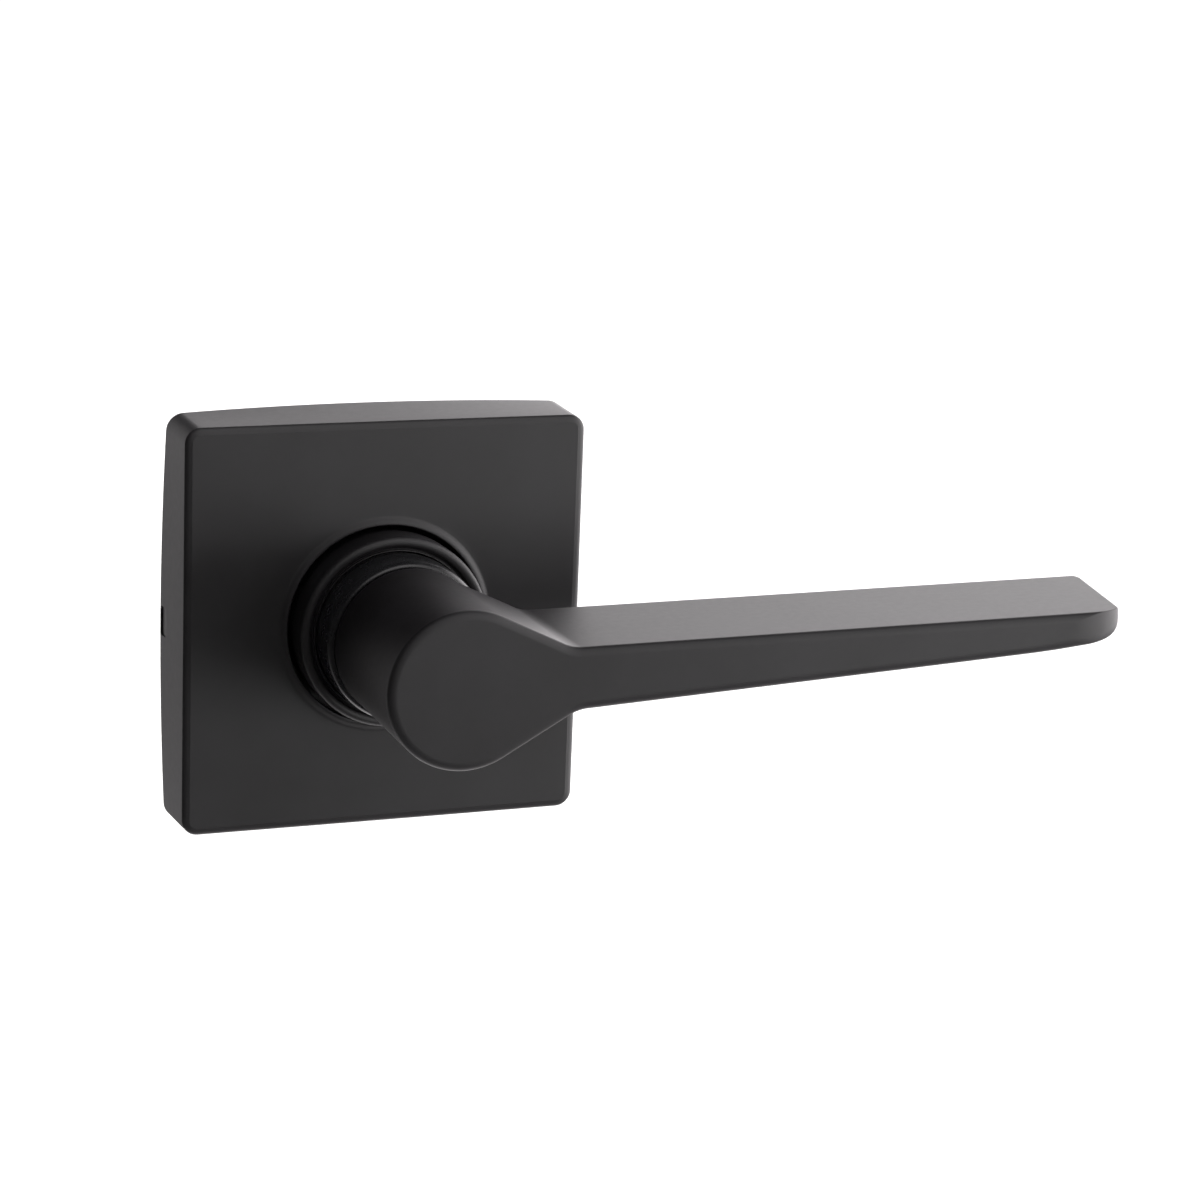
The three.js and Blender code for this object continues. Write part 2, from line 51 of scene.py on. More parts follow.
ROSE = {
    "half": 33.35, "depth": 11.1, "corner": 2.6, "edge": 0.5, "edge_width": 1.4, "wall": 1.6, "bow": 0.85,
    "draft": 0.25,
}
LIP = {"opening": 16.3, "round": 0.25, "crest": 16.6, "outer": 17.9, "height": 0.38}
PRY_SLOT = {"height": 4.8, "back": -0.3, "front": -3.0, "floor": 33.85, "corner": 0.6}

COLLAR = {
    "inner": 13.2, "outer": 15.6, "crown": 13.9, "groove": 13.55, "back": -11.7,
    "front": -16.7, "shoulder": -16.0, "floor": -15.8, "rim": -16.25,
}

SLEEVE = {
    "back": -1.9, "tail": 9.0, "groove": 8.1, "groove_back": -2.7, "groove_front": -4.1,
    "journal": 10.1, "journal_back": -10.1, "shoulder": 13.1, "round": 0.95, "shoulder_back": -17.0,
    "shoulder_front": -23.0, "nose": 8.6, "front": -43.2, "flat": 7.3,
}

LEVER = {
    "front": -51.0, "back": -26.5, "shank_back": -23.3, "shank": 12.2, "edge": 0.7, "edge_width": 1.5,
    "rear_edge": 0.9, "bore": 8.9, "bore_front": -43.6,
}
HUB = {"radius": 12.5, "x": 0.2, "z": -0.35}
TOP_EDGE = {"x": 18.0, "z": 5.4, "slope": 0.00465, "tangent": -0.48}
LOW_EDGE = {"x": 22.0, "z": -4.27, "slope": 0.0525, "tangent": 0.568}
HOLLOW = 6.5          # radius of the two hollows between hub and blade
TIP = {
    "x": 112.87, "y": -47.0, "slant": 0.2, "front": 3.2, "long": 8.2, "back": 2.4, "low": 3.6, "top": 0.4,
    "bulge": 0.2, "lift_reach": 12.0, "lift": 0.3,
}

PLATE = {"half": 29.6, "corner": 2.5, "thick": 1.6, "bore": 7.0, "screw_hole": 2.5, "rivet_hole": 1.7}
SPINDLE = {"half": 3.95, "corner": 0.9, "back": 48.0, "front": -42.0, "chamfer": 0.6}
SCREW = {
    "x": 19.5, "radius": 2.0, "end": 42.0, "seat": -3.4, "head": 3.8, "height": 2.4, "recess": 0.45,
    "thread_from": 8.0, "pitch": 0.8, "depth": 0.28,
}
RIVET = {"z": 19.5, "radius": 1.4, "back": -0.2, "head": 2.8, "seat": -3.4, "height": 1.3}
CROSS_PIN = {"y": -39.0, "radius": 1.2, "reach": 8.2}
CATCH = {
    "y": -31.0, "nose": 1.6, "tip": -10.3, "flange": 2.5, "low": -7.0, "high": -6.0,
    "bore": 1.2, "floor": -8.6,
}
COIL = {"radius": 12.5, "wire": 0.7, "back": -6.5, "front": -9.4, "leg_x": 2.5, "leg_end": 9.7}
CATCH_COIL = {"radius": 0.8, "wire": 0.18, "low": -6.9, "high": -4.5, "turns": 2.5}
WASHER = {"inner": 10.4, "outer": 12.9, "back": -15.9, "front": -16.7}
BUSHING = {"inner": 10.4, "outer": 11.4, "back": -11.3, "front": -15.3}
RING = {"inner": 8.4, "outer": 10.6, "back": -3.0, "front": -3.8, "gap": 4.0}
CLIP = {"foot": 25.5, "heel": 30.05, "inside": 31.35, "thick": 0.6, "back": -1.9, "width": 9.0}

# ---------------------------------------------------------------- outlines in two dimensions


def turn_corner(before, corner, after, radius, steps):
    """Points of an arc that rounds a corner between two straight runs."""
    before, corner, after = Vector(before), Vector(corner), Vector(after)
    inward = (before - corner).normalized()
    onward = (after - corner).normalized()
    half_angle = inward.angle(onward) / 2
    reach = radius / math.tan(half_angle)
    centre = corner + (inward + onward).normalized() * (radius / math.sin(half_angle))
    first = corner + inward * reach - centre
    last = corner + onward * reach - centre
    sweep = first.angle(last)
    points = []
    for i in range(steps + 1):
        part = sweep * i / steps
        spoke = (first * math.sin(sweep - part) + last * math.sin(part)) / math.sin(sweep)
        points.append(tuple(centre + spoke))
    return points


def rounded_loop(corners, steps=5):
    """Closed outline from (u, v) or (u, v, radius) corners, the radius rounding that corner."""
    points = []
    count = len(corners)
    for i, corner in enumerate(corners):
        radius = corner[2] if len(corner) > 2 else 0
        if radius:
            before, after = corners[i - 1][:2], corners[(i + 1) % count][:2]
            points += turn_corner(before, corner[:2], after, radius, steps)
        else:
            points.append(tuple(corner[:2]))
    return points


def rounded_run(corners, steps=5):
    """Open path from (u, v) or (u, v, radius) corners; its two ends stay sharp."""
    points = [tuple(corners[0][:2])]
    for before, corner, after in zip(corners, corners[1:], corners[2:]):
        radius = corner[2] if len(corner) > 2 else 0
        if radius:
            points += turn_corner(before[:2], corner[:2], after[:2], radius, steps)
        else:
            points.append(tuple(corner[:2]))
    return points + [tuple(corners[-1][:2])]


def quarter(steps):
    """Angles from nought to a right angle."""
    return [i / steps * math.pi / 2 for i in range(steps + 1)]


def along(start, end, steps):
    """Points from start, which is included, to end, which isn't."""
    start, end = Vector(start), Vector(end)
    return [tuple(start.lerp(end, i / steps)) for i in range(steps)]


# ---------------------------------------------------------------- mesh making


def link(name, mesh):
    piece = bpy.data.objects.new(name, mesh)
    bpy.context.scene.collection.objects.link(piece)
    return piece


def from_bmesh(name, maker):
    bmesh.ops.recalc_face_normals(maker, faces=maker.faces)
    for face in maker.faces:
        face.smooth = True
    mesh = bpy.data.meshes.new(name)
    maker.to_mesh(mesh)
    maker.free()
    return link(name, mesh)


def skin(name, rings, torus=False):
    """Closed mesh over rings of (x, y, z) points in millimetres, capped or joined end to end."""
    maker = bmesh.new()
    rows = [[maker.verts.new(Vector(point) * MM) for point in ring] for ring in rings]
    count = len(rows[0])
    pairs = list(zip(rows, rows[1:]))
    if torus:
        pairs.append((rows[-1], rows[0]))
    else:
        maker.faces.new(rows[0])
        maker.faces.new(rows[-1])
    for low, high in pairs:
        for i in range(count):
            j = (i + 1) % count
            maker.faces.new((low[i], low[j], high[j], high[i]))
    return from_bmesh(name, maker)


def circle(radius, y, count):
    angles = [2 * math.pi * i / count for i in range(count)]
    return [(radius * math.cos(a), y, radius * math.sin(a)) for a in angles]


def turned(name, profile, count=128, torus=False):
    """Piece turned about the hub axis from a (radius, y) profile."""
    return skin(name, [circle(radius, y, count) for radius, y in profile], torus)


def box_cutter(low, high):
    maker = bmesh.new()
    bmesh.ops.create_cube(maker, size=1)
    size = Vector(high) - Vector(low)
    middle = (Vector(high) + Vector(low)) / 2
    for vert in maker.verts:
        vert.co = (middle + Vector(a * b for a, b in zip(vert.co, size))) * MM
    return from_bmesh("cutter", maker)


def hole_cutter(radius, start, end, count=48):
    """Round cutter between two points in millimetres."""
    start, end = Vector(start), Vector(end)
    turn = (end - start).to_track_quat("Y", "Z").to_matrix()
    rings = []
    for distance in (0, (end - start).length):
        rings.append([tuple(start + turn @ Vector(p)) for p in circle(radius, distance, count)])
    return skin("cutter", rings)


def cut(piece, *cutters):
    """Takes the cutters out of the piece for good."""
    for cutter in cutters:
        modifier = piece.modifiers.new("cut", "BOOLEAN")
        modifier.operation = "DIFFERENCE"
        modifier.solver = "EXACT"
        modifier.object = cutter
    bpy.context.view_layer.update()
    evaluated = piece.evaluated_get(bpy.context.evaluated_depsgraph_get())
    mesh = bpy.data.meshes.new_from_object(evaluated)
    piece.modifiers.clear()
    piece.data = mesh
    for cutter in cutters:
        bpy.data.objects.remove(cutter)
    return piece


def even_shading(piece, angle=35):
    """Sharp where faces meet at more than the angle; flat faces stay flat beside rounded edges."""
    piece.data.set_sharp_from_angle(angle=math.radians(angle))
    modifier = piece.modifiers.new("even_shading", "WEIGHTED_NORMAL")
    modifier.mode = "FACE_AREA"
    modifier.keep_sharp = True
    modifier.weight = 80
    return piece


def place(piece, body, slot, material, *nodes):
    """Rides the finished piece on its body in place of its CAD nodes."""
    piece.data.materials.clear()
    piece.data.materials.append(material)
    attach(piece, body)
    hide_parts(*nodes)
    return piece


# ---------------------------------------------------------------- materials


class Nodes:
    """Short way to write a material's node tree."""

    def __init__(self, name):
        self.material = bpy.data.materials.new(name)
        self.material.use_nodes = True
        self.tree = self.material.node_tree
        self.shader = self.tree.nodes["Principled BSDF"]

    def add(self, kind, **inputs):
        node = self.tree.nodes.new(kind)
        for key, value in inputs.items():
            self.put(node, key, value)
        return node

    def put(self, node, key, value):
        socket = node.inputs[key.replace("_", " ")]
        if isinstance(value, bpy.types.NodeSocket):
            self.tree.links.new(value, socket)
        else:
            socket.default_value = value

    def set(self, **inputs):
        for key, value in inputs.items():
            self.put(self.shader, key, value)

    def where(self, stretch=(1, 1, 1)):
        """Object coordinates in metres, stretched along each axis."""
        coordinates = self.add("ShaderNodeTexCoord").outputs["Object"]
        return self.add("ShaderNodeMapping", Vector=coordinates, Scale=stretch).outputs["Vector"]

    def noise(self, per_metre, detail=2.0, roughness=0.5, stretch=(1, 1, 1)):
        node = self.add(
            "ShaderNodeTexNoise", Vector=self.where(stretch), Scale=per_metre,
            Detail=detail, Roughness=roughness,
        )
        return node.outputs["Fac"]

    def spread(self, value, low, high, from_low=0.3, from_high=0.7):
        """Maps the middle of a noise to the range from low to high."""
        node = self.add("ShaderNodeMapRange", Value=value)
        node.inputs["From Min"].default_value = from_low
        node.inputs["From Max"].default_value = from_high
        node.inputs["To Min"].default_value = low
        node.inputs["To Max"].default_value = high
        return node.outputs["Result"]

    def between(self, factor, dark, light):
        node = self.tree.nodes.new("ShaderNodeMix")
        node.data_type = "RGBA"
        self.tree.links.new(factor, node.inputs["Factor"])
        node.inputs["A"].default_value = (*dark, 1)
        node.inputs["B"].default_value = (*light, 1)
        return node.outputs["Result"]

    def bump(self, height, strength, distance):
        node = self.add("ShaderNodeBump", Height=height, Strength=strength, Distance=distance)
        return node.outputs["Normal"]


def satin_black(name, dark, light, rough, ior):
    """Sprayed satin black: a fine orange peel over a very fine grain, uneven only in a soft way."""
    m = Nodes(name)
    patches = m.noise(70, detail=3)
    peel = m.noise(900, detail=2)
    speckle = m.noise(5200, detail=1)
    m.set(
        Base_Color=m.between(m.spread(patches, 0, 1), dark, light),
        Roughness=m.spread(m.noise(900, detail=3), rough - 0.012, rough + 0.012),
    )
    m.shader.inputs["IOR"].default_value = ior
    fine = m.bump(speckle, 0.25, 0.00002)
    broad = m.add("ShaderNodeBump", Height=peel, Strength=0.14, Distance=0.00002, Normal=fine)
    m.set(Normal=broad.outputs["Normal"])
    return m.material


def plated_black(name):
    """Smoother black plating on the turned sleeve, with faint lathe marks round it."""
    m = Nodes(name)
    marks = m.noise(2600, detail=2, stretch=(0.02, 1, 0.02))
    m.set(
        Base_Color=m.between(m.noise(300), (0.004, 0.004, 0.0045), (0.009, 0.009, 0.01)),
        Roughness=m.spread(m.noise(500, detail=3), 0.25, 0.32),
        Normal=m.bump(marks, 0.08, 0.00002),
    )
    m.shader.inputs["IOR"].default_value = 1.5
    return m.material


def zinc_plate(name):
    """Bright zinc plating: slightly blue, cloudy, with scattered dull spots."""
    m = Nodes(name)
    cloud = m.noise(120, detail=4, roughness=0.6)
    m.set(
        Base_Color=m.between(m.spread(cloud, 0, 1), (0.27, 0.28, 0.30), (0.37, 0.38, 0.39)),
        Roughness=m.spread(m.noise(700, detail=3), 0.36, 0.5),
        Normal=m.bump(m.noise(1800, detail=2), 0.15, 0.00003),
    )
    m.shader.inputs["Metallic"].default_value = 1.0
    return m.material


def spring_steel(name):
    """Drawn steel: darker, with fine lines left by the die."""
    m = Nodes(name)
    m.set(
        Base_Color=m.between(m.noise(400, detail=3), (0.26, 0.27, 0.28), (0.42, 0.43, 0.44)),
        Roughness=m.spread(m.noise(900, detail=3), 0.24, 0.38),
        Normal=m.bump(m.noise(4000, detail=1, stretch=(1, 0.1, 1)), 0.2, 0.00002),
    )
    m.shader.inputs["Metallic"].default_value = 1.0
    return m.material


def black_nylon(name):
    """Moulded black nylon: matt, with a faint mottle."""
    m = Nodes(name)
    m.set(
        Base_Color=m.between(m.noise(260, detail=2), (0.006, 0.006, 0.006), (0.012, 0.012, 0.012)),
        Roughness=m.spread(m.noise(800, detail=2), 0.45, 0.6),
        Normal=m.bump(m.noise(2500, detail=2), 0.2, 0.00003),
    )
    return m.material


ROSE_BLACK = satin_black("rose_black", (0.0045, 0.004, 0.0045), (0.008, 0.0075, 0.0085), 0.5, 1.5)
LEVER_BLACK = satin_black("lever_black", (0.0035, 0.003, 0.0035), (0.007, 0.0065, 0.0075), 0.53, 1.45)
SLEEVE_BLACK = plated_black("sleeve_black")
ZINC = zinc_plate("zinc_plating")
SPRING = spring_steel("spring_steel_bare")
NYLON = black_nylon("nylon_black")

# ---------------------------------------------------------------- rose

SIDE_STEPS = 48
CORNER_STEPS = 10


def square(half, corner):
    """Rounded square as (x, z) points, with enough along each side to carry the bow."""
    points = []
    reach = half - corner
    for side in range(4):
        turn = Matrix.Rotation(side * math.pi / 2, 2)
        points += [tuple(turn @ Vector(p)) for p in along((half, -reach), (half, reach), SIDE_STEPS)]
        for angle in quarter(CORNER_STEPS)[:-1]:
            spoke = Vector((reach + corner * math.cos(angle), reach + corner * math.sin(angle)))
            points.append(tuple(turn @ spoke))
    return points


def drafted(points, y):
    """Rose outline at depth y: narrower at the front, its sides bowed towards the door."""
    near_door = 1 + y / ROSE["depth"]
    bow = near_door * ROSE["bow"] / ROSE["half"]
    draft = 1 - (1 - near_door) * ROSE["draft"] / ROSE["half"]

    def bulge(across):
        return 1 + bow * max(0, 1 - (across / ROSE["half"]) ** 2)

    return [(x * draft * bulge(z), y, z * draft * bulge(x)) for x, z in points]


def round_ring(radius, y, spokes):
    """Circle whose points lie in the same directions as the square's."""
    return [(radius * x, y, radius * z) for x, z in spokes]


def pry_slot_cutter():
    """Blind slot with rounded corners in the left side wall, for the tool that takes the rose off."""
    reach = PRY_SLOT["height"] / 2
    back, front, corner = PRY_SLOT["back"], PRY_SLOT["front"], PRY_SLOT["corner"]
    outline = rounded_loop([
        (back, -reach, corner), (front, -reach, corner), (front, reach, corner), (back, reach, corner)])
    return skin("cutter", [[(x, y, z) for y, z in outline] for x in (-60, -PRY_SLOT["floor"])])


def rose_cover():
    half, edge, wall = ROSE["half"], ROSE["edge"], ROSE["wall"]
    face = -ROSE["depth"]
    outer = square(half, ROSE["corner"])
    spokes = [tuple(Vector(p).normalized()) for p in outer]
    ceiling = face + wall
    opening, height = LIP["opening"], LIP["height"]
    rings = [
        round_ring(opening, ceiling, spokes),
        round_ring(opening, ceiling - 0.15, spokes),
    ]
    turn = LIP["round"]
    for angle in quarter(8):
        rings.append(round_ring(
            opening + turn * (1 - math.cos(angle)), face - height + turn * (1 - math.sin(angle)), spokes))
    blend_from, blend_to, steps = LIP["crest"], LIP["outer"], 8
    for i in range(steps + 1):
        part = i / steps
        fall = (1 + math.cos(math.pi * part)) / 2
        rings.append(round_ring(blend_from + (blend_to - blend_from) * part, face - height * fall, spokes))
    inset = square(half - ROSE["edge_width"], ROSE["corner"] - ROSE["edge_width"])
    last_circle = LIP["outer"] + 0.8
    for part in (0.0, 0.3, 0.6, 0.85, 1.0):
        rings.append([
            (last_circle * sx * (1 - part) + x * part, face, last_circle * sz * (1 - part) + z * part)
            for (sx, sz), (x, z) in zip(spokes, inset)
        ])
    for angle in quarter(8)[1:]:
        y = face + edge * (1 - math.cos(angle))
        blend = math.sin(angle)
        ring = [(a + (c - a) * blend, b + (d - b) * blend) for (a, b), (c, d) in zip(inset, outer)]
        rings.append(drafted(ring, y))
    for y in (-8, -6, -4, -2, -0.5, -0.2):
        rings.append(drafted(outer, y))
    rings.append([(x, 0, z) for x, _, z in drafted(square(half - 0.12, ROSE["corner"]), 0)])
    inner = square(half - wall, ROSE["corner"] - 1)
    for y in (0, -0.3, -5, ceiling + 0.2, ceiling):
        rings.append([(x, y, z) for x, z in inner])
    rings.append(round_ring(opening * 1.3, ceiling, spokes))
    piece = skin("rose_shell", rings, torus=True)
    cut(piece, pry_slot_cutter())
    return place(even_shading(piece), "trim", "rose", ROSE_BLACK, "rose_cover")


rose_cover()

# ---------------------------------------------------------------- collar and sleeve


def bearing_collar():
    """Ring with a crowned front, a groove inside the crown and a thin rim round the neck."""
    inner, outer, crown, groove = COLLAR["inner"], COLLAR["outer"], COLLAR["crown"], COLLAR["groove"]
    front, shoulder, floor, rim = COLLAR["front"], COLLAR["shoulder"], COLLAR["floor"], COLLAR["rim"]
    profile = [(inner, COLLAR["back"]), (outer - 0.15, COLLAR["back"]), (outer, COLLAR["back"] - 0.15)]
    middle, half = (outer + crown) / 2, (outer - crown) / 2
    for i in range(25):
        angle = i / 24 * math.pi
        swell = (front - shoulder) * math.sin(angle) ** 0.8
        profile.append((middle + half * math.cos(angle), shoulder + swell))
    profile += [(groove + 0.12, floor - 0.05), (groove, floor), (groove - 0.06, floor)]
    rise = (groove - 0.1 - inner) / 2
    for i in range(9):
        angle = i / 8 * math.pi
        profile.append((inner + rise + rise * math.cos(angle), rim + rise * (1 - math.sin(angle))))
    profile.append((inner, -14.0))
    piece = turned("collar_ring", profile, 160, torus=True)
    return place(even_shading(piece), "trim", "rose", ROSE_BLACK, "bearing_collar")


def drive_sleeve():
    s = SLEEVE
    profile = rounded_run([
        (s["tail"] - 0.2, s["back"]), (s["tail"], s["back"], 0.15), (s["tail"], s["groove_back"], 0.1),
        (s["groove"], s["groove_back"], 0.1), (s["groove"], s["groove_front"], 0.1),
        (s["tail"], s["groove_front"], 0.1), (s["tail"], s["journal_back"], 0.1),
        (s["journal"], s["journal_back"], 0.2), (s["journal"], s["shoulder_back"], 0.3),
        (s["shoulder"], s["shoulder_back"], 0.25), (s["shoulder"], s["shoulder_front"], s["round"]),
        (s["nose"], s["shoulder_front"], 0.2), (s["nose"], s["front"], 0.5), (s["nose"] - 1, s["front"]),
    ], steps=5)
    piece = turned("sleeve_turned", profile, 160)
    bore = SPINDLE["half"] + 0.3
    cut(
        piece,
        box_cutter((-bore, -60, -bore), (bore, 5, bore)),
        box_cutter((-20, s["front"] - 1, s["flat"]), (20, s["shoulder_front"], 20)),
        hole_cutter(CROSS_PIN["radius"] + 0.3, (-20, CROSS_PIN["y"], 0), (20, CROSS_PIN["y"], 0)),
        hole_cutter(CATCH["nose"] + 0.3, (0, CATCH["y"], -15), (0, CATCH["y"], 0)),
        hole_cutter(CATCH["flange"] + 0.3, (0, CATCH["y"], CATCH["low"] - 0.3), (0, CATCH["y"], 0)),
    )
    return place(even_shading(piece), "lever", "sleeve", SLEEVE_BLACK, "drive_sleeve")


bearing_collar()
drive_sleeve()

# ---------------------------------------------------------------- lever

HUB_POINTS = 96
TIP_TOP = TOP_EDGE["z"] + TOP_EDGE["slope"] * (TIP["x"] - TOP_EDGE["x"])
LOW_ANGLE = math.atan(LOW_EDGE["tangent"]) - math.pi / 2
TOP_ANGLE = math.atan(TOP_EDGE["tangent"]) + math.pi / 2
HUB_SWEEP = LOW_ANGLE + 2 * math.pi - TOP_ANGLE
SIDE_DEPTHS = (
    -50.05, -49.8, -49.55, -49.3, -49.05, -48.8, -48.5, -48.2, -47.8,
    -47, -45, -42, -39, -36, -33, -31, -29.5, -28.9, -28.6, -28.3, -28.0,
)       # where the casting's side is cut into rings; closest in the rounding of the tip


def spoke(angle, length=1.0):
    return Vector((length * math.cos(angle), length * math.sin(angle)))


def crossing(a, a_way, b, b_way):
    """Where the line through a meets the line through b."""
    turn = a_way.cross(b_way)
    return a + a_way * ((b - a).cross(b_way) / turn)


def edge_line(edge, inset, side):
    """A point and the direction of one long edge of the blade, moved inward; side is 1 on top."""
    direction = Vector((1, edge["slope"])).normalized()
    inward = Vector((direction.y, -direction.x)) * side
    return Vector((edge["x"], edge["z"])) + inward * inset, direction


def low_lift(x):
    """The lower edge turns up a little towards the end."""
    return TIP["lift"] * max(0.0, 1 - (TIP["x"] - x) / TIP["lift_reach"]) ** 1.5


def low_edge(x):
    return LOW_EDGE["z"] + LOW_EDGE["slope"] * (x - LOW_EDGE["x"]) + low_lift(x)


def tip_curve(inset, steps=26, corner_steps=6):
    """End of the blade seen from the front: a wide low corner and a tight upper one."""
    end = TIP["x"]
    top = TIP_TOP - inset
    first, bend = Vector((end - TIP["low"], low_edge(end - TIP["low"]))), Vector((end, low_edge(end)))
    last = bend + Vector((0, 0.8 * TIP["low"]))
    path = []
    for i in range(121):
        t = i / 120
        point = first * (1 - t) ** 2 + bend * 2 * t * (1 - t) + last * t ** 2
        way = ((bend - first) * (1 - t) + (last - bend) * t).normalized()
        path.append(point + Vector((-way.y, way.x)) * inset)
    path = [p for p in path if p.y < top]
    peak = Vector((end - inset if path[-1].y < top - 0.3 else path[-1].x, top))
    round_off = TIP["top"] if inset < 0.3 else TIP["top"] / 2
    path = [p for p in path if (p - peak).length > round_off]
    before, after = peak - Vector((0, round_off)), peak - Vector((round_off, 0))
    points = evenly(path + [before], steps)
    for i in range(1, corner_steps + 1):
        t = i / corner_steps
        points.append(before * (1 - t) ** 2 + peak * 2 * t * (1 - t) + after * t ** 2)
    return [tuple(p) for p in points]


def evenly(path, steps):
    """The path again with steps + 1 points at even distances."""
    lengths = [0.0]
    for a, b in zip(path, path[1:]):
        lengths.append(lengths[-1] + (b - a).length)
    points, k = [], 0
    for i in range(steps + 1):
        length = lengths[-1] * i / steps
        while k < len(path) - 2 and lengths[k + 1] < length:
            k += 1
        points.append(path[k].lerp(path[k + 1], (length - lengths[k]) / (lengths[k + 1] - lengths[k])))
    return points


def lever_outline(inset=0.0):
    """Front outline as (x, z) points. It always has as many, so two outlines can be skinned."""
    centre = Vector((HUB["x"], HUB["z"]))
    radius = HUB["radius"] - inset
    hub = [tuple(centre + spoke(TOP_ANGLE + HUB_SWEEP * i / HUB_POINTS, radius)) for i in range(HUB_POINTS)]
    low_touch = centre + spoke(LOW_ANGLE, radius)
    top_touch = centre + spoke(TOP_ANGLE, radius)
    low_point, low_run = edge_line(LOW_EDGE, inset, -1)
    top_point, top_run = edge_line(TOP_EDGE, inset, 1)
    low_bend = crossing(low_touch, Vector((1, LOW_EDGE["tangent"])), low_point, low_run)
    top_bend = crossing(top_touch, Vector((1, TOP_EDGE["tangent"])), top_point, top_run)
    tip = tip_curve(inset)
    low_end = (tip[0][0], tip[0][1] - low_lift(tip[0][0]))
    low_hollow = turn_corner(low_touch, low_bend, low_end, HOLLOW + inset, 10)
    long_edge = [(x, z + low_lift(x)) for x, z in along(low_hollow[-1], low_end, 60)]
    top_hollow = turn_corner(tip[-1], top_bend, top_touch, HOLLOW + inset, 10)
    return (
        hub
        + along(low_touch, low_hollow[0], 14) + low_hollow[:-1]
        + long_edge + tip[:-1]
        + along(tip[-1], top_hollow[0], 40) + top_hollow[:-1]
        + along(top_hollow[-1], top_touch, 14)
    )


def corner_cut(depth, radius):
    """How far a corner of that radius has drawn back at a depth from the face."""
    if depth >= radius:
        return 0.0
    return radius - math.sqrt(radius ** 2 - (radius - depth) ** 2)


def smooth_step(x, low, high):
    t = min(1.0, max(0.0, (x - low) / (high - low)))
    return t * t * (3 - 2 * t)


def shape_tip(x, y, z):
    """Rounds the blade's end in plan, bulges it a little and slants it outward towards the door."""
    reach = 16.0
    share = min(1.0, max(0.0, (x - (TIP["x"] - reach)) / reach))
    front_cut = corner_cut(y - LEVER["front"], TIP["front"]) * TIP["long"] / TIP["front"]
    drawn = front_cut + corner_cut(LEVER["back"] - y, TIP["back"])
    middle, half = 2.8, 3.2
    bulge = TIP["bulge"] * max(0.0, 1 - ((z - middle) / half) ** 2) * share ** 4
    slant = TIP["slant"] * (y - TIP["y"]) * smooth_step(x, 80, 110)
    return x - drawn * share + bulge + slant, y, z


class LeverRings:
    """Rings of the lever casting: the front outline, drawn back to the shank's circle."""

    def __init__(self):
        self.outer = [Vector(p) for p in lever_outline()]
        self.inner = [Vector(p) for p in lever_outline(LEVER["edge_width"])]
        self.rear = [Vector(p) for p in lever_outline(LEVER["rear_edge"])]
        self.count = len(self.outer)
        self.spokes = [self.spoke_of(i) for i in range(self.count)]
        self.moves = [self.move_of(i) for i in range(self.count)]
        self.proud = [
            0.0 if i < HUB_POINTS else min(1.0, max(0.0, 0.35 * (p.length - LEVER["shank"])))
            for i, p in enumerate(self.outer)
        ]

    def spoke_of(self, i):
        """Direction in which a point ends up on the shank: the blade's points run straight at the axis."""
        if i < HUB_POINTS:
            return spoke(TOP_ANGLE + HUB_SWEEP * i / HUB_POINTS)
        if i == HUB_POINTS:
            return spoke(LOW_ANGLE)
        return self.outer[i].normalized()

    def move_of(self, i):
        """How far a point shifts between the front face and the shank; the blade's own don't."""
        if i < HUB_POINTS:
            return self.spokes[i] * LEVER["shank"] - self.outer[i]
        top = i > (self.count + HUB_POINTS) / 2
        touch = self.outer[0 if top else HUB_POINTS]
        shift = spoke(TOP_ANGLE if top else LOW_ANGLE, LEVER["shank"]) - touch
        return shift * (1 - smooth_step((self.outer[i] - touch).length, 0, 10))

    def point(self, i, y, share, inward=None, weight=0.0):
        """A point of the outline, its share of the way to the shank and its weight of the way inward."""
        point = self.outer[i] + self.moves[i] * share
        if weight:
            point = point + (inward[i] - self.outer[i]) * weight
        return shape_tip(point.x, y, point.y)

    def side(self, y, inward=None, weight=0.0):
        share = (y - LEVER["front"]) / (LEVER["back"] - LEVER["front"])
        return [self.point(i, y, share, inward, weight) for i in range(self.count)]

    def front_edge(self):
        for angle in quarter(8):
            y = LEVER["front"] + LEVER["edge"] * (1 - math.cos(angle))
            yield self.side(y, self.inner, 1 - math.sin(angle))

    def rear_edge(self, steps=6):
        """Rounded rear edge of the blade, which fades out where the hub runs on into the shank."""
        back = LEVER["back"]
        for k in range(steps + 1):
            angle = k / steps * math.pi / 2
            ring = []
            for i, w in enumerate(self.proud):
                lag = w * LEVER["rear_edge"] * (1 - math.sin(angle)) + (1 - w) * 0.6 * (1 - k / steps)
                ring.append(self.point(i, back - lag, 1, self.rear, w * (1 - math.cos(angle))))
            yield ring

    def root(self, last_ring, steps=6):
        """Hollow between the blade's rear face and the shank."""
        shank, back = LEVER["shank"], LEVER["back"]
        sizes = []
        for i, (x, _, z) in enumerate(last_ring):
            gap = (Vector((x, z)) - self.spokes[i] * shank).length
            sizes.append(0.0 if i < HUB_POINTS else min(1.0, 0.3 * gap))
        for k in range(steps + 1):
            angle = k / steps * math.pi / 2
            ring = []
            for way, size in zip(self.spokes, sizes):
                spread = shank + size * (1 - math.sin(angle))
                y = back + size * (1 - math.cos(angle)) + (1 - size) * (0.15 + 0.15 * k)
                ring.append((way.x * spread, y, way.y * spread))
            yield ring

    def circle(self, radius, y):
        return [(way.x * radius, y, way.y * radius) for way in self.spokes]


